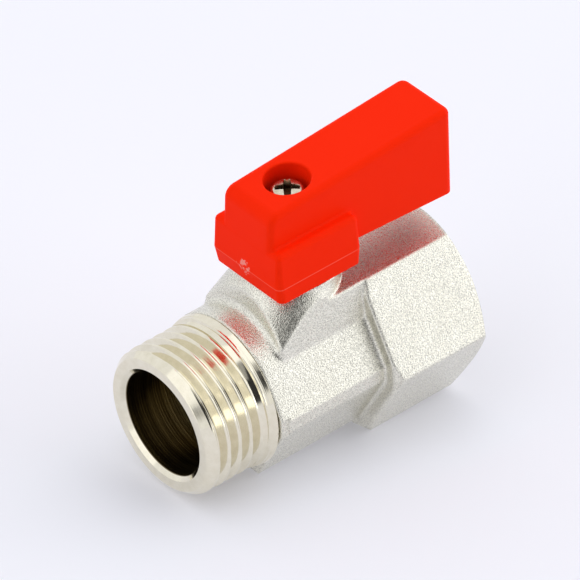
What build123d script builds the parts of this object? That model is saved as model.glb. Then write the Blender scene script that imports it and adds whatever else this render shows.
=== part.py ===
from build123d import *
import os
from math import acos, asin, cos, degrees, hypot, radians, sin, sqrt, tan

# Mini ball valve, male thread by female hexagon, with a quarter-turn lever.
# Millimetres. +X runs along the pipe axis to the female end and +Z up the stem.
# The origin is the centre of the ball. The valve is modelled open: the lever
# lies along the pipe and points to the female end.

# Ball and flow passage
port_r = 5.0
ball_wall = 2.8
slot_width = 3.6
slot_depth = 2.2
cavity_gap = 0.35

# Seat rings
seat_wall = 2.3
seat_lip = 1.4
seat_length = 3.4
seat_ball_gap = 0.05
seat_pocket_gap = 0.05

# Screwed joint between body and male end
joint_step = 0.8
joint_engagement = 4.05
joint_gap = 0.05
joint_floor_gap = 0.3
spigot_overlap = 2.2
joint_wall = 1.55

# Male end
collar_width = 0.8
collar_step = 0.25
band_width = 0.65
relief_length = 0.95
relief_drop = 0.5
relief_angle = 20.5
thread_length = 7.4
thread_pitch = 1.814
thread_depth = 1.16
thread_land = 0.3
male_thread_r = 10.35
nose_length = 1.2
nose_drop = 0.94
male_bore_r = 7.4
mouth_chamfer = 0.65
port_land = 1.2

# Female end
hex_step = 2.0
hex_start = 5.7
hex_front_bevel = 1.3
hex_front_angle = 33.0
hex_back_bevel = 2.2
hex_back_angle = 30.0
hex_edge_r = 0.3
step_fillet = 0.6
female_thread_r = 10.4775
socket_depth = 11.2
socket_chamfer = 0.5
seat_web = 3.0

# Middle of the body
pad_rise = 2.73
pad_edge_r = 0.25
parting_rib_height = 1.1
parting_rib_proud = 0.15
parting_rib_setback = 1.1
parting_notch_depth = 0.3

# Shoulder and neck
neck_r = 6.5
neck_length = 4.5
shoulder_overhang = 0.15
shoulder_lead = 1.15
shoulder_draft = 8.5
flare_reach = 3.4
flare_lean = 0.58
flare_inset = 0.2
shoulder_ridge_r = 0.5
shoulder_foot_r = 1.0

# Stem and its seals
stem_r = 3.2
stem_gap = 0.05
flange_r = 4.4
flange_gap = 0.15
flange_thickness = 1.6
flange_ball_gap = 0.35
washer_thickness = 0.6
washer_gap = 0.05
groove_width = 1.5
groove_depth = 1.0
first_groove_rise = 0.5
groove_spacing = 1.9
seal_gap = 0.03
tongue_length = 7.0
tongue_gap = 0.1
square_side = 4.4
square_length = 7.7

# Quarter-turn stop
turn_angle = 90.0
stop_inner_r = 3.9
stop_outer_r = 5.2
stop_height = 1.5
stop_angle = 60.0
stop_middle = 180.0
stop_gap = 0.25
stop_end_angle = 2.0

# Lever
lever_gap = 0.26
block_front = 7.4
block_back = 6.55
block_half_width = 6.72
parting_rise = 2.4
block_height = 7.5
upper_draft = 3.5
foot_front_setback = 0.45
foot_setback = 0.12
block_corner_r = 0.9
shoulder_round = 0.85
fin_half_width = 4.77
fin_end = 23.75
fin_rise_angle = 4.0
fin_root_rise = 2.29
fin_tip_rise = 1.34
fin_brow_r = 1.8
fin_tip_r = 1.2
fin_edge_r = 0.9
crease_r = 0.4
core_wall = 1.95
core_rib = 1.6
core_roof = 2.2
sink_r = 3.1
sink_rim_r = 0.25
sink_depth = 3.68
socket_roof = 2.0
socket_gap = 0.05

# Screw
screw_head_r = 2.05
screw_head_height = 1.7
screw_head_round = 0.4
screw_r = 1.25
screw_reach = 8.0
screw_gap = 0.08
recess_length = 2.9
recess_width = 0.75
recess_depth = 1.1
recess_angle = 51.0

# Places worked out from the sizes above
ball_r = port_r + ball_wall
cavity_r = ball_r + cavity_gap
seat_sphere_r = ball_r + seat_ball_gap
seat_back = sqrt(seat_sphere_r**2 - port_r**2) + seat_lip
seat_front = seat_back - seat_length
seat_outer_r = port_r + seat_wall
seat_pocket_r = seat_outer_r + seat_pocket_gap
joint_bore_r = cavity_r + joint_step
spigot_r = joint_bore_r - joint_gap
spigot_tip = seat_back - spigot_overlap
joint_reach = seat_back + joint_engagement
pad_flat = joint_bore_r + joint_wall
crown_r = sqrt(pad_flat**2 + pad_rise**2)
side_corner = pad_flat / cos(radians(30))
rib_face = side_corner - parting_rib_height * tan(radians(30)) + parting_rib_proud
rib_foot = (side_corner - rib_face) / tan(radians(30))
notch_face = rib_face - parting_notch_depth
notch_rise = (side_corner - notch_face) / tan(radians(30))
pad_top_y = pad_flat * cos(radians(30)) - pad_rise * sin(radians(30))
pad_top_z = pad_flat * sin(radians(30)) + pad_rise * cos(radians(30))
hex_flats = 2 * (pad_flat + hex_step)
shoulder_front = neck_r + shoulder_lead
web_rise = hex_flats / 2 - pad_top_z
shoulder_half_width = pad_top_y + shoulder_overhang - tan(radians(shoulder_draft)) * web_rise
hex_front_run = hex_front_bevel * tan(radians(hex_front_angle))
hex_back_run = hex_back_bevel * tan(radians(hex_back_angle))
collar_face = joint_reach + collar_width
band_face = collar_face + band_width
band_r = crown_r - collar_step
thread_back = band_face + relief_length
thread_front = thread_back + thread_length
thread_turns = int(thread_length / thread_pitch)
relief_front_r = male_thread_r - relief_drop
relief_back_r = relief_front_r + tan(radians(relief_angle)) * relief_length
male_reach = thread_front + nose_length
socket_floor = seat_back + seat_web
female_reach = socket_floor + socket_depth
flange_bottom = ball_r + flange_ball_gap
flange_top = flange_bottom + flange_thickness
washer_top = flange_top + washer_thickness
pocket_top = washer_top + washer_gap
neck_top = pocket_top + neck_length
stem_top = neck_top + square_length
stem_bore_r = stem_r + stem_gap
flange_pocket_r = flange_r + flange_gap
groove_root_r = stem_r - groove_depth
lever_bottom = neck_top + lever_gap
parting_z = lever_bottom + parting_rise
block_top = lever_bottom + block_height
sink_floor = stem_top + socket_roof
fin_top = sink_floor + sink_depth


def turned_on_pipe(*points):
    """Solid turned about the pipe axis from (x, radius) points."""
    return revolve(Plane.XZ * make_face(Polyline(*points, close=True)), Axis.X)


def turned_on_stem(*points):
    """Solid turned about the stem axis from (radius, z) points."""
    return revolve(Plane.XZ * make_face(Polyline(*points, close=True)), Axis.Z)


def tube_on_stem(inner_r, outer_r, bottom, top):
    return turned_on_stem((inner_r, bottom), (outer_r, bottom), (outer_r, top), (inner_r, top))


def rod_on_stem(radius, bottom, top):
    return Pos(0, 0, bottom) * Cylinder(radius, top - bottom, align=(Align.CENTER, Align.CENTER, Align.MIN))


def sector_on_stem(inner_r, outer_r, bottom, top, start_angle, end_angle):
    """Part of a ring about the stem axis, between two angles from +X."""
    profile = Plane.XZ * make_face(
        Polyline((inner_r, bottom), (outer_r, bottom), (outer_r, top), (inner_r, top), close=True)
    )
    return Rot(0, 0, start_angle) * revolve(profile, Axis.Z, end_angle - start_angle)


def hexagon(flats, start, end):
    """Hexagonal bar along the pipe, with a flat on top and one below."""
    outline = RegularPolygon(flats / 2, 6, major_radius=False)
    return extrude(Plane.YZ.offset(start) * outline, end - start)


def middle_section():
    """Section of the body's middle: a hexagon with cut side corners and a round crown."""
    lower = Polyline(
        (-pad_top_y, pad_top_z),
        (-notch_face, notch_rise),
        (-notch_face, -notch_rise),
        (-side_corner / 2, -pad_flat),
        (side_corner / 2, -pad_flat),
        (notch_face, -notch_rise),
        (notch_face, notch_rise),
        (pad_top_y, pad_top_z),
    )
    crown = ThreePointArc((pad_top_y, pad_top_z), (0, crown_r), (-pad_top_y, pad_top_z))
    return make_face(lower + crown)


def female_hexagon():
    """Hexagon of the female end, with its corners turned off at both ends."""
    bar = hexagon(hex_flats, hex_start, female_reach)
    corner_r = hex_flats / 2 / cos(radians(30))
    envelope = turned_on_pipe(
        (hex_start, 0),
        (hex_start, corner_r - hex_front_bevel),
        (hex_start + hex_front_run, corner_r),
        (female_reach - hex_back_run, corner_r),
        (female_reach, corner_r - hex_back_bevel),
        (female_reach, 0),
    )
    turned = bar & envelope
    return fillet(turned.faces().sort_by(Axis.X)[0].edges(), hex_edge_r)


def neck_shoulder():
    """Shoulder under the neck: a flare leaning to the male end and a web to the hexagon."""
    flare_height = neck_top - pad_flat / 2
    flare_foot = Pos(-flare_lean * flare_height, 0, neck_top - flare_height)
    flare = loft([
        flare_foot * Circle(shoulder_half_width + flare_reach),
        Pos(0, 0, neck_top) * Circle(neck_r - flare_inset),
    ])
    web = Pos(0, 0, hex_flats / 2) * Box(
        hex_start + hex_front_run, 4 * shoulder_half_width, hex_flats / 2,
        align=(Align.MIN, Align.CENTER, Align.MAX),
    )
    draft_run = tan(radians(shoulder_draft)) * hex_flats / 2
    foot_front = shoulder_front + draft_run
    foot_back = 2 * hex_start + draft_run
    foot = Pos((foot_back - foot_front) / 2, 0) * Rectangle(
        foot_front + foot_back, 2 * (shoulder_half_width + draft_run)
    )
    forging_block = extrude(foot, 2 * neck_top, taper=shoulder_draft)
    shoulder = (flare + web) & forging_block
    ridges = shoulder.edges().filter_by(
        lambda edge: edge.center().X < -neck_r / 4
        and pad_flat / 2 + pad_edge_r < edge.center().Z < neck_top - pad_edge_r
    )
    return fillet(ridges, shoulder_ridge_r)


def parting_rib():
    """Trimmed flash line left along each side corner of the body's middle."""
    slope_run = parting_rib_proud / (1 - tan(radians(30)))
    outline = Polyline(
        (notch_face - pad_edge_r, parting_rib_height + slope_run),
        (rib_face - slope_run, parting_rib_height + slope_run),
        (rib_face, parting_rib_height),
        (rib_face, -rib_foot),
        (notch_face - pad_edge_r, -(side_corner - notch_face + pad_edge_r) / tan(radians(30))),
        close=True,
    )
    rib = extrude(
        Plane.YZ.offset(parting_rib_setback - joint_reach) * make_face(outline),
        joint_reach - parting_rib_setback + hex_start,
    )
    return rib + mirror(rib, Plane.XZ)


def body_passage():
    """Everything bored out of the body along the pipe."""
    return turned_on_pipe(
        (-joint_reach - joint_engagement, 0),
        (-joint_reach - joint_engagement, joint_bore_r),
        (-spigot_tip + joint_floor_gap, joint_bore_r),
        (-spigot_tip + joint_floor_gap, cavity_r),
        (seat_front, cavity_r),
        (seat_front, seat_pocket_r),
        (seat_back, seat_pocket_r),
        (seat_back, port_r),
        (socket_floor, port_r),
        (socket_floor, female_thread_r),
        (female_reach - socket_chamfer, female_thread_r),
        (female_reach, female_thread_r + socket_chamfer),
        (female_reach + socket_chamfer, female_thread_r + socket_chamfer),
        (female_reach + socket_chamfer, 0),
    )


def body_middle():
    """Middle of the body, run a little way into the hexagon."""
    bar = extrude(Plane.YZ.offset(-joint_reach) * middle_section(), joint_reach + hex_start + step_fillet)
    return fillet(bar.edges().filter_by(Axis.X), pad_edge_r)


def middle_and_hexagon():
    """Middle with the hexagon standing proud of it, over a hollow round."""
    bar = body_middle() + female_hexagon()
    step = bar.edges().filter_by(
        lambda edge: abs(edge.center().X - hex_start) < pad_edge_r / 2
        and hypot(edge.center().Y, edge.center().Z) < side_corner
    )
    return fillet(step, step_fillet)


def middle_and_shoulder():
    """Middle with the shoulder on it, over a hollow round along the shoulder's foot."""
    body = body_middle() + neck_shoulder()
    foot = body.edges().filter_by(GeomType.ELLIPSE).filter_by(
        lambda edge: edge.center().Z > pad_flat and edge.center().X < -neck_r
    )
    return fillet(foot, shoulder_foot_r)


def make_valve_body():
    body = middle_and_hexagon() + middle_and_shoulder() + parting_rib()
    body += rod_on_stem(neck_r, 0, neck_top)
    body += sector_on_stem(
        stop_inner_r, stop_outer_r, neck_top - stop_height, neck_top + stop_height,
        stop_middle - stop_angle / 2, stop_middle + stop_angle / 2,
    )
    body -= body_passage()
    body -= rod_on_stem(flange_pocket_r, 0, pocket_top)
    return body - rod_on_stem(stem_bore_r, 0, neck_top + 2 * stop_height)


def thread_rings():
    """Outline of the male thread, turned as separate rings at its pitch and depth."""
    outline = []
    for turn in range(thread_turns):
        middle = thread_front - (turn + 0.5) * thread_pitch
        open_half = (thread_pitch - thread_land) / 2
        root_half = thread_land / 2
        root_r = male_thread_r - thread_depth
        outline += [
            (-middle - open_half, male_thread_r),
            (-middle - root_half, root_r),
            (-middle + root_half, root_r),
            (-middle + open_half, male_thread_r),
        ]
    return outline


def make_male_end():
    cone_run = male_bore_r - port_r
    return turned_on_pipe(
        (-male_reach, male_bore_r + mouth_chamfer),
        (-male_reach, male_thread_r - nose_drop),
        (-thread_front, male_thread_r),
        *thread_rings(),
        (-thread_back, male_thread_r),
        (-thread_back, relief_front_r),
        (-band_face, relief_back_r),
        (-band_face, band_r),
        (-collar_face, band_r),
        (-collar_face, crown_r),
        (-joint_reach, crown_r),
        (-joint_reach, spigot_r),
        (-spigot_tip, spigot_r),
        (-spigot_tip, seat_pocket_r),
        (-seat_back, seat_pocket_r),
        (-seat_back, port_r),
        (-seat_back - port_land, port_r),
        (-seat_back - port_land - cone_run, male_bore_r),
        (-male_reach + mouth_chamfer, male_bore_r),
    )


def make_ball():
    port = Rot(0, 90, 0) * Cylinder(port_r, 4 * ball_r)
    slot = Pos(0, 0, ball_r - slot_depth) * Box(
        slot_width, 4 * ball_r, 2 * slot_depth, align=(Align.CENTER, Align.CENTER, Align.MIN)
    )
    return Sphere(ball_r) - port - slot


def make_seat_ring(side):
    """Seat ring on one side of the ball: side is 1 for female and -1 for male."""
    inner_angle = degrees(asin(port_r / seat_sphere_r))
    outer_angle = degrees(acos(seat_front / seat_sphere_r))
    ball_side = CenterArc((0, 0), seat_sphere_r, inner_angle, outer_angle - inner_angle)
    rest = Polyline(
        ball_side @ 1,
        (seat_front, seat_outer_r),
        (seat_back, seat_outer_r),
        (seat_back, port_r),
        ball_side @ 0,
    )
    ring = revolve(Plane.XZ * make_face(ball_side + rest), Axis.X)
    return ring if side > 0 else Rot(0, 0, 180) * ring


def groove_middle(number):
    """Height of a seal groove's middle; number 0 is the lower one."""
    return pocket_top + first_groove_rise + groove_width / 2 + number * groove_spacing


def make_stem():
    shaft = rod_on_stem(stem_r, flange_top, neck_top)
    shaft += rod_on_stem(flange_r, flange_bottom, flange_top)
    for number in range(2):
        middle = groove_middle(number)
        shaft -= tube_on_stem(groove_root_r, 2 * stem_r, middle - groove_width / 2, middle + groove_width / 2)
    tongue_bottom = ball_r - slot_depth + tongue_gap
    tongue = Pos(0, 0, tongue_bottom) * Box(
        slot_width - 2 * tongue_gap, tongue_length, flange_bottom - tongue_bottom,
        align=(Align.CENTER, Align.CENTER, Align.MIN),
    )
    square = Pos(0, 0, neck_top) * Box(
        square_side, square_side, stem_top - neck_top, align=(Align.CENTER, Align.CENTER, Align.MIN)
    )
    tapped_hole = rod_on_stem(screw_r + screw_gap, sink_floor - screw_reach - screw_gap, sink_floor)
    return shaft + tongue + square - tapped_hole


def make_thrust_washer():
    return tube_on_stem(stem_r + stem_gap, flange_r, flange_top, washer_top)


def make_stem_seal(number):
    ring_r = (stem_bore_r + groove_root_r) / 2
    section_r = (stem_bore_r - groove_root_r) / 2 - seal_gap
    return Pos(0, 0, groove_middle(number)) * Torus(ring_r, section_r)


def lever_block():
    """Foot of the lever, drafted up from its parting line and drawn in below it."""
    outline = Pos((block_back - block_front) / 2, 0, parting_z) * RectangleRounded(
        block_front + block_back, 2 * block_half_width, block_corner_r
    )
    underside = Pos((block_back - block_front + foot_front_setback - foot_setback) / 2, 0, lever_bottom) * (
        RectangleRounded(
            block_front + block_back - foot_front_setback - foot_setback,
            2 * (block_half_width - foot_setback), block_corner_r,
        )
    )
    upper = extrude(outline, block_top - parting_z, taper=upper_draft)
    lower = loft([underside, outline])
    return fillet(upper.faces().sort_by(Axis.Z)[-1].edges(), shoulder_round) + lower


def fin_roof(x):
    """Height of the blade's rising top at a place along it."""
    return fin_top + tan(radians(fin_rise_angle)) * x


def lever_fin():
    """Blade of the lever, with a rising top edge and rounded corners."""
    front_top_x = -block_front + tan(radians(upper_draft)) * (fin_top - parting_z)
    outline = Polyline(
        (-block_front, parting_z),
        (front_top_x, fin_roof(front_top_x)),
        (fin_end, fin_roof(fin_end)),
        (fin_end, lever_bottom + fin_tip_rise),
        (block_back, lever_bottom + fin_root_rise),
        (0, parting_z),
        close=True,
    )
    side = make_face(outline)
    brow = min(side.vertices(), key=lambda corner: corner.X - corner.Y)
    side = fillet(brow, fin_brow_r)
    blade = extrude(Plane.XZ.offset(-fin_half_width) * side, 2 * fin_half_width)
    tip_corners = blade.faces().sort_by(Axis.X)[-1].edges().filter_by(Axis.Z)
    blade = fillet(tip_corners, fin_tip_r)
    front_corners = blade.faces().sort_by(Axis.X)[0].edges().filter_by(Axis.Y, reverse=True)
    return fillet(front_corners, fin_edge_r)


def fin_core():
    """Hollow moulded into the blade from below, with one rib across it."""
    start = block_back + core_wall
    end = fin_end - core_wall
    half_width = fin_half_width - core_wall
    outline = Polyline(
        (start, lever_bottom),
        (start, fin_roof(start) - core_roof),
        (end, fin_roof(end) - core_roof),
        (end, lever_bottom),
        close=True,
    )
    hollow = extrude(Plane.XZ.offset(-half_width) * make_face(outline), 2 * half_width)
    rib = Pos((start + end) / 2, 0, fin_top) * Box(core_rib, 4 * half_width, 2 * fin_top)
    return hollow - rib


def make_lever_handle():
    lever = lever_block() + lever_fin()
    crease = lever.edges().filter_by(Axis.X).filter_by(
        lambda edge: abs(edge.center().Z - block_top) < crease_r / 2
    )
    lever = fillet(crease, crease_r) - fin_core()
    lever -= rod_on_stem(sink_r, sink_floor, 2 * fin_top)
    sink_rim = lever.edges().filter_by(GeomType.ELLIPSE).sort_by(Axis.Z)[-1]
    lever = fillet(sink_rim, sink_rim_r)
    lever -= rod_on_stem(screw_r + screw_gap, lever_bottom, sink_floor)
    socket_side = square_side + 2 * socket_gap
    lever -= Pos(0, 0, lever_bottom) * Box(
        socket_side, socket_side, stem_top - lever_bottom,
        align=(Align.CENTER, Align.CENTER, Align.MIN),
    )
    return lever - sector_on_stem(
        stop_inner_r - stop_gap, stop_outer_r + stop_gap,
        lever_bottom, neck_top + stop_height + stop_gap,
        stop_middle - stop_angle / 2 - stop_end_angle,
        stop_middle + stop_angle / 2 + turn_angle + stop_end_angle,
    )


def make_handle_screw():
    head_top = sink_floor + screw_head_height
    head = rod_on_stem(screw_head_r, sink_floor, head_top)
    head = fillet(head.faces().sort_by(Axis.Z)[-1].edges(), screw_head_round)
    for angle in (recess_angle, recess_angle - 90):
        head -= Rot(0, 0, angle) * Pos(0, 0, head_top - recess_depth) * Box(
            recess_length, recess_width, 2 * recess_depth, align=(Align.CENTER, Align.CENTER, Align.MIN)
        )
    return head + rod_on_stem(screw_r, sink_floor - screw_reach, sink_floor)


pieces = {
    "valve_body": make_valve_body(),
    "male_end": make_male_end(),
    "seat_ring_male": make_seat_ring(-1),
    "seat_ring_female": make_seat_ring(1),
    "ball": make_ball(),
    "stem": make_stem(),
    "thrust_washer": make_thrust_washer(),
    "lower_stem_seal": make_stem_seal(0),
    "upper_stem_seal": make_stem_seal(1),
    "lever_handle": make_lever_handle(),
    "handle_screw": make_handle_screw(),
}

os.makedirs("parts", exist_ok=True)
for name, piece in pieces.items():
    export_step(piece, f"parts/{name}.step")
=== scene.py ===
import math

import bmesh
import bpy
from mathutils import Matrix, Vector


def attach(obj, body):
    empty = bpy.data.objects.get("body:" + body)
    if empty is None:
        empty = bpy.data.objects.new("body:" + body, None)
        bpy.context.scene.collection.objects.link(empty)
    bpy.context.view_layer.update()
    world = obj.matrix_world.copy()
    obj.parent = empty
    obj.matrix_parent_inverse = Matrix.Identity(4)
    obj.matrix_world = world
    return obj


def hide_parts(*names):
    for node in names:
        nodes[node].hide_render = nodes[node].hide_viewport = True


# Looks of a mini ball valve: a sand-blasted nickel-plated body, a turned male
# end with its pipe thread, and a moulded red lever. Lengths are written in
# millimetres and turned to metres by MM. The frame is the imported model's.

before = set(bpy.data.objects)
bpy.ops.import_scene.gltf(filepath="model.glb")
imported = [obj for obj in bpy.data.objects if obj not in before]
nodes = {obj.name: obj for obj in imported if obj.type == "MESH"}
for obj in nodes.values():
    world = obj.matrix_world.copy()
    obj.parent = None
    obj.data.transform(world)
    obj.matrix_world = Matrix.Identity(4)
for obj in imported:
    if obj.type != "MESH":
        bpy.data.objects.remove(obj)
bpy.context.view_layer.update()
MM = 0.001

# Pipe thread G 1/2, 14 turns to the inch. The section is one turn from crest to
# crest, as (share of the pitch, share of the depth).
THREAD_PITCH = 1.814
THREAD_DEPTH = 1.16
THREAD_SECTION = [
    (0.000, 0.000), (0.055, 0.000), (0.072, 0.006), (0.086, 0.022), (0.100, 0.060), (0.180, 0.292),
    (0.260, 0.524), (0.340, 0.756), (0.395, 0.915), (0.425, 0.972), (0.460, 0.994), (0.500, 1.000),
    (0.540, 0.994), (0.575, 0.972), (0.605, 0.915), (0.660, 0.756), (0.740, 0.524), (0.820, 0.292),
    (0.900, 0.060), (0.914, 0.022), (0.928, 0.006), (0.945, 0.000),
]

# Male end, measured from the ball's centre towards -X, as (distance, radius)
MALE_CREST_R = 10.35
MALE_NOSE = [(22.40, 9.49), (21.42, 10.26), (21.34, 10.31), (21.24, 10.34), (21.12, 10.35), (13.90, 10.35)]
MALE_BEHIND_THREAD = [
    (13.90, 10.33), (13.74, 10.00), (13.70, 9.955), (13.66, 9.95), (13.00, 10.187), (12.95, 10.22),
    (12.82, 10.52), (12.78, 10.575), (12.72, 10.599), (12.40, 10.599), (12.36, 10.61), (12.26, 10.70),
    (12.22, 10.725), (11.70, 10.817), (11.67, 10.81), (11.64, 10.78), (11.5017, 10.50),
]
MALE_HIDDEN_AND_BORE = [
    (11.5017, 8.90), (5.2517, 8.90), (5.2517, 7.35), (7.4517, 7.35), (7.4517, 5.00), (8.65, 5.00),
    (11.05, 7.40), (21.84, 7.40), (21.88, 7.42), (22.45, 7.99), (22.49, 8.03), (22.5017, 8.08),
    (22.5017, 9.33), (22.49, 9.38), (22.46, 9.43),
]
MALE_SIDES = 300

# Where the thread's groove lies round the male end and where it runs in and out,
# in turns from the +Y side
THREAD_PHASE = -0.158
THREAD_FIRST_TURN = 11
THREAD_RUN_IN = (0.02, 0.22)
THREAD_RUN_OUT = (3.55, 4.0)
THREAD_RUN_OUT_DEPTH = 0.40

# Female thread on the wall of the socket. Its section is (share of half the pitch,
# share of the depth), and its foot is sunk a little into the wall.
FEMALE_ROOT_R = 10.4775
FEMALE_CREST_R = 9.3155
FEMALE_START = 11.2
FEMALE_END = 20.6
FEMALE_STEPS = 120
FEMALE_FADE_TURNS = 0.3
FEMALE_END_SHARE = 0.02
FEMALE_SUNK = 0.02
FEMALE_SECTION = [
    (-0.98, 0.0), (-0.30, 0.86), (-0.16, 0.97), (0.0, 1.0), (0.16, 0.97), (0.30, 0.86), (0.98, 0.0),
]

# Lever: the height of its parting line, the place of a scuff on its front, and
# the back of its block, where the line ends
LEVER_PARTING_Z = 17.56
LEVER_SCUFF = (-7.4, 0.2, 17.7)
LEVER_BLOCK_BACK = 6.6

# Screw in the lever's sunk hole: its radius, heights, cross recess, and the fall
# of its head towards the rim
SCREW_R = 2.3
SCREW_SEAT_Z = 24.6
SCREW_TOP_Z = 27.0
SCREW_SHANK_R = 1.25
SCREW_TIP_Z = 16.6
CROSS_ANGLE = 51
CROSS_REACH = 1.62
CROSS_HALF_WIDTH = 0.56
CROSS_DEPTH = 1.0
CROSS_TAPER = 0.10
CROSS_WALL_RUN = 0.07
CROSS_END_RUN = 0.25
SCREW_DOME = 0.35
SCREW_RIM_DROP = 0.45
SCREW_RIM_START = 0.8
SCREW_SIDES = 180
SCREW_RINGS = 42

# Where the valve touches the ground it lies on, as (x, z): it leans on the
# hexagon's near edge and on the thread's front edge.
HEX_CONTACT = (6.4, -12.5)
MALE_CONTACT = (-21.3, -10.35)
GROUND_HALF_WIDTH = 3000

# The photograph's view, fitted to the valve
VIEW_AZIMUTH = -38.80
VIEW_ELEVATION = 38.59
VIEW_ROLL = -2.27
VIEW_DISTANCE = 1034.6
VIEW_RIGHT = -0.4754
VIEW_UP = 7.8737
FRAME_PIXELS = 580
FOCAL_PIXELS = 8000
SENSOR_WIDTH = 36.0

# Light tent: its level all round and at its dark opening, the way to the opening
# and the cosines of the angles at its soft rim
SURROUND_LEVEL = 1.02
OPENING_LEVEL = 0.04
TENT_OPENING = (-0.277, -0.760, 0.588)
OPENING_RIM = (0.82, 0.88)

# Share of the ground that glows white, as seen and as mirrored in the metal
GROUND_GLOW = 0.20
GROUND_MIRRORED_GLOW = 0.45

# Softboxes: name, place and width in millimetres, and power in watts
SOFTBOXES = [
    ("front_softbox", (780, -780, 380), 1200, 0.8),
    ("right_softbox", (960, -260, 180), 1000, 3.0),
    ("low_softbox", (545, -840, 110), 260, 0.25),
    ("top_softbox", (60, -260, 960), 1100, 1.4),
    ("left_softbox", (-830, -80, 560), 900, 0.7),
]

# New meshes: points closer than this are one, and edges over this angle are sharp
MERGE_DISTANCE = 1e-4
SHARP_ANGLE = 18


def linear(code):
    """Linear colour of an sRGB hex value."""
    parts = [int(code[i:i + 2], 16) / 255 for i in (1, 3, 5)]
    return tuple(p / 12.92 if p <= 0.04045 else ((p + 0.055) / 1.055) ** 2.4 for p in parts) + (1.0,)


def add(tree, kind, inputs=None, **settings):
    """Adds a shader node. Inputs are values, or sockets to link from."""
    node = tree.nodes.new("ShaderNode" + kind)
    for key, value in settings.items():
        setattr(node, key, value)
    for socket, value in (inputs or {}).items():
        if isinstance(value, bpy.types.NodeSocket):
            tree.links.new(value, node.inputs[socket])
        else:
            node.inputs[socket].default_value = value
    return node


def surface(name):
    """New material: its node tree, its Principled shader and the place on the part in metres."""
    material = bpy.data.materials.new(name)
    material.use_nodes = True
    tree = material.node_tree
    shader = tree.nodes["Principled BSDF"]
    place = add(tree, "TexCoord").outputs["Object"]
    return material, tree, shader, place


def per_mm(size):
    """Texture scale, in cells per metre, of a pattern with that size in millimetres."""
    return 1.0 / (size * MM)


def blasted_nickel():
    """Forged brass, sand-blasted and nickel-plated: a warm silver skin of fine sparkling grains, with
    painted shade darkening the pits between them.

    The grains are too fine to measure in the photograph, and are drawn as coarse as a picture can show.
    """
    material, tree, shader, place = surface("blasted_nickel_plate")
    grain = add(tree, "TexNoise", {"Vector": place, "Scale": per_mm(0.13), "Detail": 1.0, "Roughness": 0.6})
    pits = add(tree, "TexVoronoi", {"Vector": place, "Scale": per_mm(0.18)})
    height = add(tree, "Math", {0: grain.outputs["Fac"], 1: pits.outputs["Distance"]}, operation="ADD")
    soft_edges = add(tree, "Bevel", {"Radius": 0.7 * MM}, samples=8)
    bump = add(tree, "Bump", {"Height": height.outputs[0], "Strength": 1.0, "Distance": 0.034 * MM,
                              "Normal": soft_edges.outputs["Normal"]})
    tree.links.new(bump.outputs["Normal"], shader.inputs["Normal"])
    cloud = add(tree, "TexNoise", {"Vector": place, "Scale": per_mm(5.0), "Detail": 3.0})
    tone = add(tree, "Mix", {0: cloud.outputs["Fac"], 6: linear("#E7E4D6"), 7: linear("#EEECE1")},
               data_type="RGBA")
    # Painted shade: the base colour is darkened to as little as 55 % in the low pits of the grain.
    pit_painted_shade = add(tree, "MapRange", {"Value": height.outputs[0], "From Min": 0.55, "From Max": 1.15,
                                   "To Min": 0.55, "To Max": 1.0})
    skin = add(tree, "Mix", {0: 1.0, 6: tone.outputs[2], 7: pit_painted_shade.outputs["Result"]},
               data_type="RGBA", blend_type="MULTIPLY")
    tree.links.new(skin.outputs[2], shader.inputs["Base Color"])
    gloss = add(tree, "MapRange", {"Value": grain.outputs["Fac"], "From Min": 0.3, "From Max": 0.7,
                                   "To Min": 0.20, "To Max": 0.34})
    tree.links.new(gloss.outputs["Result"], shader.inputs["Roughness"])
    shader.inputs["Metallic"].default_value = 1.0
    return material


def turned_nickel():
    """Turned brass under bright nickel plate: a soft mirror with fine rings from the lathe.

    Inside the bore the plate is duller, with coarser rings from the boring tool, and its colour is a
    painted shade of dark brown with painted highlights along the rings.
    """
    material, tree, shader, place = surface("turned_nickel_plate")
    axes = add(tree, "SeparateXYZ", {"Vector": place})
    along = add(tree, "CombineXYZ", {"X": axes.outputs["X"]})
    across = add(tree, "CombineXYZ", {"Y": axes.outputs["Y"], "Z": axes.outputs["Z"]})
    radius = add(tree, "VectorMath", {0: across.outputs[0]}, operation="LENGTH")
    bored = add(tree, "MapRange", {"Value": radius.outputs["Value"], "From Min": 7.44 * MM,
                                   "From Max": 7.52 * MM, "To Min": 1.0, "To Max": 0.0})
    rings = add(tree, "TexNoise", {"Vector": along.outputs[0], "Scale": per_mm(0.35), "Detail": 3.0,
                                   "Roughness": 0.7})
    depth = add(tree, "MapRange", {"Value": bored.outputs["Result"], "To Min": 0.3, "To Max": 1.0})
    bump = add(tree, "Bump", {"Height": rings.outputs["Fac"], "Strength": depth.outputs["Result"],
                              "Distance": 0.022 * MM})
    tree.links.new(bump.outputs["Normal"], shader.inputs["Normal"])
    cloud = add(tree, "TexNoise", {"Vector": place, "Scale": per_mm(1.2), "Detail": 4.0, "Roughness": 0.6})
    tone = add(tree, "Mix", {0: cloud.outputs["Fac"], 6: linear("#DBD4BD"), 7: linear("#F0EBDB")},
               data_type="RGBA")
    streak = add(tree, "MapRange", {"Value": rings.outputs["Fac"], "From Min": 0.44, "From Max": 0.64})
    # Painted shade down the deep bore: a dark brown base, lighter along the tool rings as painted
    # highlights.
    bore_painted_shade = add(tree, "Mix", {0: streak.outputs["Result"], 6: linear("#54472D"), 7: linear("#BCAE86")},
               data_type="RGBA")
    skin = add(tree, "Mix", {0: bored.outputs["Result"], 6: tone.outputs[2], 7: bore_painted_shade.outputs[2]},
               data_type="RGBA")
    tree.links.new(skin.outputs[2], shader.inputs["Base Color"])
    gloss = add(tree, "MapRange", {"Value": bored.outputs["Result"], "To Min": 0.12, "To Max": 0.26})
    tree.links.new(gloss.outputs["Result"], shader.inputs["Roughness"])
    shader.inputs["Metallic"].default_value = 1.0
    return material


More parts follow.
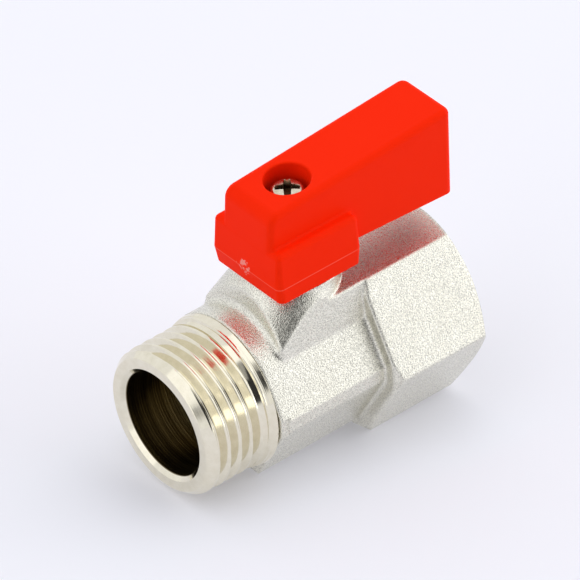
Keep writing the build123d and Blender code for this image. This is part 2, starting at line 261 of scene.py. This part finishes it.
def red_plastic():
    """Moulded red plastic, semi-matte: an even bright red under the mould's faint skin.

    A pale parting line runs round the block, and a pale scuff lies on its front.
    """
    material, tree, shader, place = surface("moulded_red_plastic")
    skin = add(tree, "TexNoise", {"Vector": place, "Scale": per_mm(0.5), "Detail": 3.0})
    bump = add(tree, "Bump", {"Height": skin.outputs["Fac"], "Strength": 0.3, "Distance": 0.02 * MM})
    tree.links.new(bump.outputs["Normal"], shader.inputs["Normal"])
    cloud = add(tree, "TexNoise", {"Vector": place, "Scale": per_mm(9.0), "Detail": 2.0})
    tone = add(tree, "Mix", {0: cloud.outputs["Fac"], 6: linear("#FE2602"), 7: linear("#FF2B05")},
               data_type="RGBA")
    axes = add(tree, "SeparateXYZ", {"Vector": place})
    off_line = add(tree, "Math", {0: axes.outputs["Z"], 1: LEVER_PARTING_Z * MM}, operation="SUBTRACT")
    distance = add(tree, "Math", {0: off_line.outputs[0]}, operation="ABSOLUTE")
    line = add(tree, "MapRange", {"Value": distance.outputs[0], "From Min": 0.03 * MM,
                                  "From Max": 0.11 * MM, "To Min": 0.30, "To Max": 0.0})
    on_block = add(tree, "Math", {0: axes.outputs["X"], 1: LEVER_BLOCK_BACK * MM}, operation="LESS_THAN")
    parting = add(tree, "Math", {0: line.outputs["Result"], 1: on_block.outputs[0]}, operation="MULTIPLY")
    lined = add(tree, "Mix", {0: parting.outputs[0], 6: tone.outputs[2], 7: linear("#FF8C78")},
                data_type="RGBA")
    to_scuff = add(tree, "VectorMath", {0: place, 1: tuple(c * MM for c in LEVER_SCUFF)},
                   operation="DISTANCE")
    near = add(tree, "MapRange", {"Value": to_scuff.outputs["Value"], "From Min": 0.9 * MM,
                                  "From Max": 2.2 * MM, "To Min": 0.12, "To Max": -0.3})
    flecks = add(tree, "TexNoise", {"Vector": place, "Scale": per_mm(0.45), "Detail": 3.0})
    worn = add(tree, "Math", {0: flecks.outputs["Fac"], 1: near.outputs["Result"]}, operation="ADD")
    scuff = add(tree, "MapRange", {"Value": worn.outputs[0], "From Min": 0.60, "From Max": 0.70,
                                   "To Min": 0.0, "To Max": 0.5})
    skin_tone = add(tree, "Mix", {0: scuff.outputs["Result"], 6: lined.outputs[2], 7: linear("#F3C3B8")},
                    data_type="RGBA")
    tree.links.new(skin_tone.outputs[2], shader.inputs["Base Color"])
    shader.inputs["Roughness"].default_value = 0.48
    shader.inputs["Specular IOR Level"].default_value = 0.03
    return material


def screw_steel():
    """Plated steel, bright on top of the head, with painted shade in dark brown down in the cross and down
    the head's side.
    """
    material, tree, shader, place = surface("plated_steel")
    axes = add(tree, "SeparateXYZ", {"Vector": place})
    above_painted_shade = add(tree, "MapRange", {"Value": axes.outputs["Z"], "From Min": 26.05 * MM,
                                    "From Max": 26.4 * MM})
    cloud = add(tree, "TexNoise", {"Vector": place, "Scale": per_mm(0.5), "Detail": 3.0})
    bright = add(tree, "Mix", {0: cloud.outputs["Fac"], 6: linear("#B5A582"), 7: linear("#F6F1E2")},
                 data_type="RGBA")
    # Painted shade: dark brown below the top of the head, in the cross recess and down the side.
    skin = add(tree, "Mix", {0: above_painted_shade.outputs["Result"], 6: linear("#3A2613"), 7: bright.outputs[2]},
               data_type="RGBA")
    tree.links.new(skin.outputs[2], shader.inputs["Base Color"])
    shader.inputs["Metallic"].default_value = 1.0
    shader.inputs["Roughness"].default_value = 0.24
    return material


def plain_finish(name, low, high, grain, metallic, roughness):
    """Finish of a small or hidden piece, with a slight cloud in its colour."""
    material, tree, shader, place = surface(name)
    cloud = add(tree, "TexNoise", {"Vector": place, "Scale": per_mm(grain), "Detail": 3.0})
    tone = add(tree, "Mix", {0: cloud.outputs["Fac"], 6: linear(low), 7: linear(high)}, data_type="RGBA")
    tree.links.new(tone.outputs[2], shader.inputs["Base Color"])
    shader.inputs["Metallic"].default_value = metallic
    shader.inputs["Roughness"].default_value = roughness
    return material


def new_piece(name, points, faces, material):
    """Object made of points in millimetres, shaded smooth up to clear edges."""
    mesh = bpy.data.meshes.new(name)
    mesh.from_pydata([tuple(c * MM for c in p) for p in points], [], faces)
    tidy = bmesh.new()
    tidy.from_mesh(mesh)
    bmesh.ops.remove_doubles(tidy, verts=tidy.verts, dist=MERGE_DISTANCE * MM)
    tidy.to_mesh(mesh)
    tidy.free()
    mesh.materials.append(material)
    piece = bpy.data.objects.new(name, mesh)
    bpy.context.scene.collection.objects.link(piece)
    for polygon in mesh.polygons:
        polygon.use_smooth = True
    mesh.set_sharp_from_angle(angle=math.radians(SHARP_ANGLE))
    return piece


def between(points, distance):
    """Radius of a turned outline at a distance from the ball's centre; distances fall along it."""
    for (d0, r0), (d1, r1) in zip(points, points[1:]):
        if d1 <= distance <= d0:
            return r0 + (r1 - r0) * (d0 - distance) / (d0 - d1)
    return points[-1][1]


def ramp(value, start, end):
    """Share of the way from start to end, held at 0 and 1 outside."""
    return min(max((value - start) / (end - start), 0.0), 1.0)


def thread_radius(place, round_share):
    """Radius of the thread at a place along it, in turns, and at a share of the way round."""
    turn = math.floor(place)
    closed = THREAD_SECTION + [(1.0, 0.0)]
    for (s0, d0), (s1, d1) in zip(closed, closed[1:]):
        if s0 <= place - turn <= s1:
            depth = d0 + (d1 - d0) * (place - turn - s0) / (s1 - s0)
    wound = round_share + THREAD_FIRST_TURN - turn
    lifted = (1 - THREAD_RUN_OUT_DEPTH) * ramp(wound, *THREAD_RUN_OUT)
    return MALE_CREST_R - THREAD_DEPTH * depth * ramp(wound, *THREAD_RUN_IN) * (1 - lifted)


def male_end():
    """Turned end piece with the pipe thread cut into it. Its rows of points follow the helix."""
    front, back = MALE_NOSE[0][0], MALE_NOSE[-1][0]
    low = math.floor(back / THREAD_PITCH + THREAD_PHASE)
    high = math.ceil(front / THREAD_PITCH + THREAD_PHASE) + 1
    rows = [turn + share for turn in range(low, high) for share, _ in THREAD_SECTION][::-1]
    behind = MALE_BEHIND_THREAD + MALE_HIDDEN_AND_BORE
    points = []
    for i in range(MALE_SIDES):
        round_share = i / MALE_SIDES
        angle = 2 * math.pi * round_share
        outline = []
        back_row = back / THREAD_PITCH + round_share + THREAD_PHASE
        for row in rows:
            distance = min(max((row - round_share - THREAD_PHASE) * THREAD_PITCH, back), front)
            radius = min(between(MALE_NOSE, distance), thread_radius(max(row, back_row), round_share))
            outline.append((distance, radius))
        for distance, radius in outline + behind:
            points.append((-distance, radius * math.cos(angle), radius * math.sin(angle)))
    ring = len(rows) + len(behind)
    faces = []
    for i in range(MALE_SIDES):
        here = i * ring
        there = (i + 1) % MALE_SIDES * ring
        shift = len(THREAD_SECTION) if i == MALE_SIDES - 1 else 0
        for j in range(ring):
            k = (j + 1) % ring
            across = [min(n + shift, len(rows) - 1) if n < len(rows) else n for n in (j, k)]
            faces.append((here + j, here + k, there + across[1], there + across[0]))
    piece = new_piece("male_end_threaded", points, faces, turned_nickel())
    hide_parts("male_end")
    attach(piece, "valve_body")


def female_thread():
    """Ridge of the pipe thread round the socket's wall, thinned out at both ends."""
    turns = (FEMALE_END - FEMALE_START) / THREAD_PITCH
    count = int(turns * FEMALE_STEPS)
    half = THREAD_PITCH / 2
    fade_steps = FEMALE_FADE_TURNS * FEMALE_STEPS
    points = []
    for i in range(count + 1):
        angle = 2 * math.pi * i / FEMALE_STEPS
        middle = FEMALE_START + THREAD_PITCH * i / FEMALE_STEPS
        fade = min(1.0, FEMALE_END_SHARE + min(i, count - i) / fade_steps)
        for across, rise in FEMALE_SECTION:
            radius = FEMALE_ROOT_R + FEMALE_SUNK - (FEMALE_ROOT_R - FEMALE_CREST_R) * rise * fade
            points.append((middle + across * half, radius * math.cos(angle), radius * math.sin(angle)))
    size = len(FEMALE_SECTION)
    faces = []
    for i in range(count):
        for j in range(size):
            k = (j + 1) % size
            faces.append((i * size + j, (i + 1) * size + j, (i + 1) * size + k, i * size + k))
    faces.append(tuple(range(size)))
    faces.append(tuple(count * size + j for j in reversed(range(size))))
    piece = new_piece("female_thread_ridge", points, faces, turned_nickel())
    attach(piece, "valve_body")


def cross_depth(radius, angle):
    """Depth of the cross recess at a place on the screw's head."""
    deepest = 0.0
    for quarter in range(4):
        turn = angle - math.radians(CROSS_ANGLE + 90 * quarter)
        along, aside = radius * math.cos(turn), abs(radius * math.sin(turn))
        if along >= 0:
            wall = ramp(CROSS_HALF_WIDTH - CROSS_TAPER * along - aside, 0.0, CROSS_WALL_RUN)
            deepest = max(deepest, CROSS_DEPTH * wall * ramp(CROSS_REACH - along, 0.0, CROSS_END_RUN))
    return deepest


def screw():
    """Pan-head screw with its cross recess."""
    points = []
    for i in range(SCREW_SIDES):
        angle = 2 * math.pi * i / SCREW_SIDES
        outline = []
        for j in range(SCREW_RINGS + 1):
            radius = SCREW_R * j / SCREW_RINGS
            share = radius / SCREW_R
            dome = SCREW_DOME * share ** 2 + SCREW_RIM_DROP * ramp(share, SCREW_RIM_START, 1.0) ** 2
            outline.append((radius, SCREW_TOP_Z - dome - cross_depth(radius, angle)))
        outline += [(SCREW_R, SCREW_SEAT_Z), (SCREW_SHANK_R, SCREW_SEAT_Z), (SCREW_SHANK_R, SCREW_TIP_Z),
                    (0.0, SCREW_TIP_Z)]
        points += [(r * math.cos(angle), r * math.sin(angle), z) for r, z in outline]
    ring = SCREW_RINGS + 5
    faces = []
    for i in range(SCREW_SIDES):
        here, there = i * ring, (i + 1) % SCREW_SIDES * ring
        faces += [(here + j, here + j + 1, there + j + 1, there + j) for j in range(ring - 1)]
    piece = new_piece("cross_recess_screw", points, faces, screw_steel())
    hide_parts("handle_screw")
    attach(piece, "lever")


def ground():
    """Matt white paper, tilted so that the leaning valve lies on it: a pale ground with a soft shadow."""
    slope = (HEX_CONTACT[1] - MALE_CONTACT[1]) / (HEX_CONTACT[0] - MALE_CONTACT[0])
    half = GROUND_HALF_WIDTH
    points = [(x, y, HEX_CONTACT[1] + slope * (x - HEX_CONTACT[0])) for x, y in
              ((-half, -half), (half, -half), (half, half), (-half, half))]
    material, tree, shader, _ = surface("white_paper_ground")
    shader.inputs["Base Color"].default_value = linear("#F4F4FB")
    shader.inputs["Roughness"].default_value = 0.9
    shader.inputs["Specular IOR Level"].default_value = 0.1
    path = add(tree, "LightPath")
    seen = add(tree, "Math", {0: path.outputs["Is Camera Ray"], 1: GROUND_GLOW}, operation="MULTIPLY")
    share = add(tree, "Math", {0: path.outputs["Is Glossy Ray"], 1: GROUND_MIRRORED_GLOW,
                               2: seen.outputs[0]}, operation="MULTIPLY_ADD")
    glow = add(tree, "Emission", {"Color": linear("#F7F7FE"), "Strength": 1.0})
    blend = add(tree, "MixShader", {0: share.outputs[0], 1: shader.outputs[0], 2: glow.outputs[0]})
    tree.links.new(blend.outputs[0], tree.nodes["Material Output"].inputs["Surface"])
    piece = new_piece("ground", points, [(0, 1, 2, 3)], material)


def softbox(name, place, size, power):
    """Square white soft light that faces the valve. Place and size are in millimetres, power in watts."""
    lamp = bpy.data.lights.new(name, "AREA")
    lamp.shape = "SQUARE"
    lamp.size = size * MM
    lamp.energy = power
    light = bpy.data.objects.new(name, lamp)
    bpy.context.scene.collection.objects.link(light)
    light.location = Vector(place) * MM
    light.rotation_euler = (-light.location).to_track_quat("-Z", "Y").to_euler()


def studio():
    """Plain soft light: a pale tent, dark at its opening, and softboxes round the valve."""
    world = bpy.data.worlds.new("pale_surround")
    bpy.context.scene.world = world
    world.use_nodes = True
    tree = world.node_tree
    background = tree.nodes["Background"]
    background.inputs["Color"].default_value = linear("#F8F9FC")
    direction = add(tree, "TexCoord").outputs["Generated"]
    towards = add(tree, "VectorMath", {0: direction, 1: TENT_OPENING}, operation="DOT_PRODUCT")
    level = add(tree, "MapRange", {"Value": towards.outputs["Value"], "From Min": OPENING_RIM[0],
                                   "From Max": OPENING_RIM[1], "To Min": SURROUND_LEVEL,
                                   "To Max": OPENING_LEVEL}, interpolation_type="SMOOTHSTEP")
    path = add(tree, "LightPath")
    shown = add(tree, "Math", {0: level.outputs["Result"], 1: path.outputs["Is Camera Ray"]},
                operation="MAXIMUM")
    tree.links.new(shown.outputs[0], background.inputs["Strength"])
    for values in SOFTBOXES:
        softbox(*values)


def photo_view():
    """Camera at the photograph's place."""
    azimuth, elevation, roll = (math.radians(v) for v in (VIEW_AZIMUTH, VIEW_ELEVATION, VIEW_ROLL))
    back = Vector((math.sin(azimuth) * math.cos(elevation), -math.cos(azimuth) * math.cos(elevation),
                   math.sin(elevation)))
    right = (-back).cross(Vector((0, 0, 1))).normalized()
    up = right.cross(-back)
    right, up = (right * math.cos(roll) + up * math.sin(roll), up * math.cos(roll) - right * math.sin(roll))
    turn = Matrix((right, up, back)).transposed().to_4x4()
    lens = bpy.data.cameras.new("photo_view")
    lens.sensor_width = SENSOR_WIDTH
    lens.lens = FOCAL_PIXELS / FRAME_PIXELS * SENSOR_WIDTH
    lens.clip_end = 20
    camera = bpy.data.objects.new("photo_view", lens)
    bpy.context.scene.collection.objects.link(camera)
    place = (right * VIEW_RIGHT + up * VIEW_UP + back * VIEW_DISTANCE) * MM
    camera.matrix_world = Matrix.Translation(place) @ turn
    bpy.context.scene.camera = camera


def finish_node(name, material):
    """Gives a CAD node its finish."""
    mesh = nodes[name].data
    mesh.materials.clear()
    mesh.materials.append(material)


photo_view()
studio()
ground()
male_end()
female_thread()
screw()

finish_node("valve_body", blasted_nickel())
finish_node("lever_handle", red_plastic())
# Slippery white plastic: soft, clean white
seat_plastic = plain_finish("white_seat_plastic", "#E8E6DF", "#F4F3EE", 1.5, 0.0, 0.45)
for name in ("seat_ring_male", "seat_ring_female", "thrust_washer"):
    finish_node(name, seat_plastic)
# Polished chrome plate: a cool, clear mirror
finish_node("ball", plain_finish("polished_chrome_plate", "#D8D8D6", "#E4E4E2", 4.0, 1.0, 0.08))
# Turned brass: warm yellow metal with a dull shine
finish_node("stem", plain_finish("turned_brass", "#C9A45C", "#D8B468", 2.0, 1.0, 0.28))
# Rubber: matt black
seal_rubber = plain_finish("black_seal_rubber", "#141414", "#202020", 1.0, 0.0, 0.55)
for name in ("lower_stem_seal", "upper_stem_seal"):
    finish_node(name, seal_rubber)

bpy.context.scene.view_settings.view_transform = "Standard"
